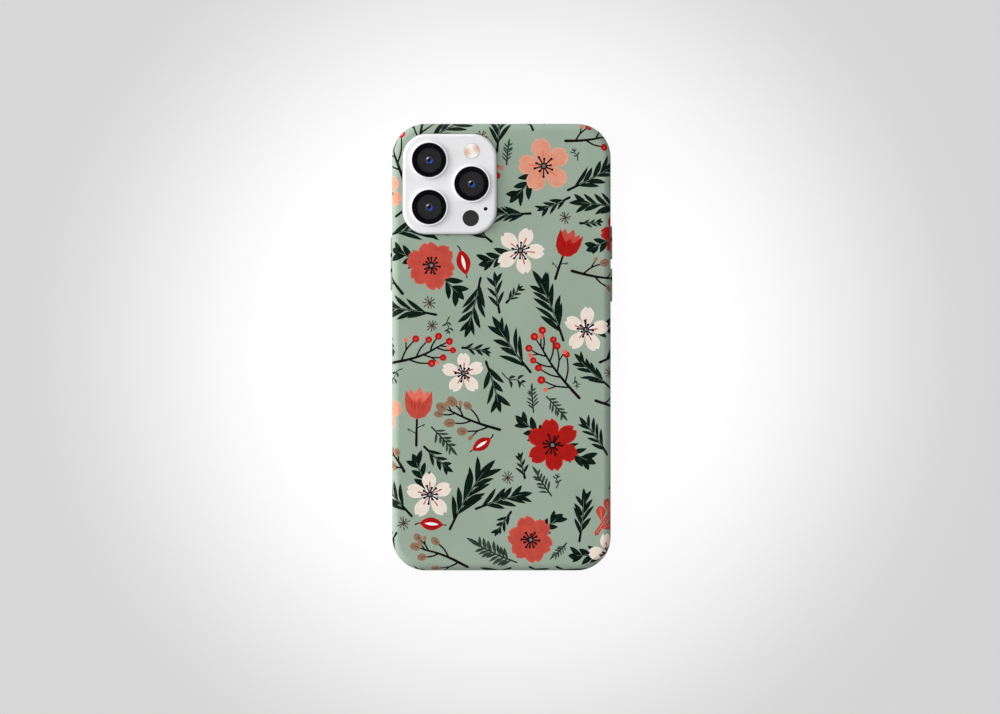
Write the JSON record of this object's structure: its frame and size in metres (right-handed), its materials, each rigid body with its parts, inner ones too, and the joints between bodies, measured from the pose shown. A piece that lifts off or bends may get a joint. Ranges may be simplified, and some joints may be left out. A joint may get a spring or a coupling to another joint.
{
  "type": "phone case",
  "caption": "Slim two-layer phone case with a floral back, press-through side buttons and a raised camera guard with lens covers",
  "frame": {"origin": "middle of the case's outline, in the plane of the front rim that the case lies on", "axes": "+Z out of the printed back, +Y towards the camera end, +X towards the side with the two volume buttons"},
  "size_m": [0.076, 0.153, 0.0127],
  "materials": {
    "printed_film": "glossy, sage green with painted flowers and leaves",
    "hard_shell": "glossy sage green polycarbonate",
    "soft_liner": "matte black soft liner",
    "printed_button": "glossy sage green with bits of the print",
    "white_guard": "satin white",
    "black_foam": "matte black foam tape",
    "bright_trim": "bright satin ring",
    "black_collar": "deep black gloss",
    "dark_baffle": "dark grey satin with fine rings",
    "coated_glass": "coated dome with a blue edge",
    "clear_cover": "clear polished disc",
    "flash_diffuser": "frosted white with a warm centre",
    "dark_window": "smoked dark grey",
    "dark_mesh": "dark fine mesh"
  },
  "bodies": {
    "case": {"printed_film": "printed_film", "outer_shell": "hard_shell", "inner_liner": "soft_liner", "power_button_web": "soft_liner", "volume_up_button_web": "soft_liner", "volume_down_button_web": "soft_liner", "camera_guard": "white_guard", "camera_gasket": "black_foam", "lens_trim_upper": "bright_trim", "lens_collar_upper": "black_collar", "lens_baffle_upper": "dark_baffle", "lens_element_upper": "coated_glass", "lens_cover_upper": "clear_cover", "lens_trim_middle": "bright_trim", "lens_collar_middle": "black_collar", "lens_baffle_middle": "dark_baffle", "lens_element_middle": "coated_glass", "lens_cover_middle": "clear_cover", "lens_trim_lower": "bright_trim", "lens_collar_lower": "black_collar", "lens_baffle_lower": "dark_baffle", "lens_element_lower": "coated_glass", "lens_cover_lower": "clear_cover", "flash_diffuser": "flash_diffuser", "depth_sensor_window": "dark_window", "microphone_mesh": "dark_mesh"},
    "power_button": {"power_button_cap": "printed_button"},
    "volume_up_button": {"volume_up_button_cap": "printed_button"},
    "volume_down_button": {"volume_down_button_cap": "printed_button"}
  },
  "joints": [
    {"name": "power_button_press", "type": "slide", "parent": "case", "child": "power_button", "axis": [1, 0, 0], "range_m": [0, 0.0003], "stiffness_N_per_m": 400, "deforming": ["power_button_web"]},
    {"name": "volume_up_button_press", "type": "slide", "parent": "case", "child": "volume_up_button", "axis": [-1, 0, 0], "range_m": [0, 0.0003], "stiffness_N_per_m": 400, "deforming": ["volume_up_button_web"]},
    {"name": "volume_down_button_press", "type": "slide", "parent": "case", "child": "volume_down_button", "axis": [-1, 0, 0], "range_m": [0, 0.0003], "stiffness_N_per_m": 400, "deforming": ["volume_down_button_web"]}
  ]
}
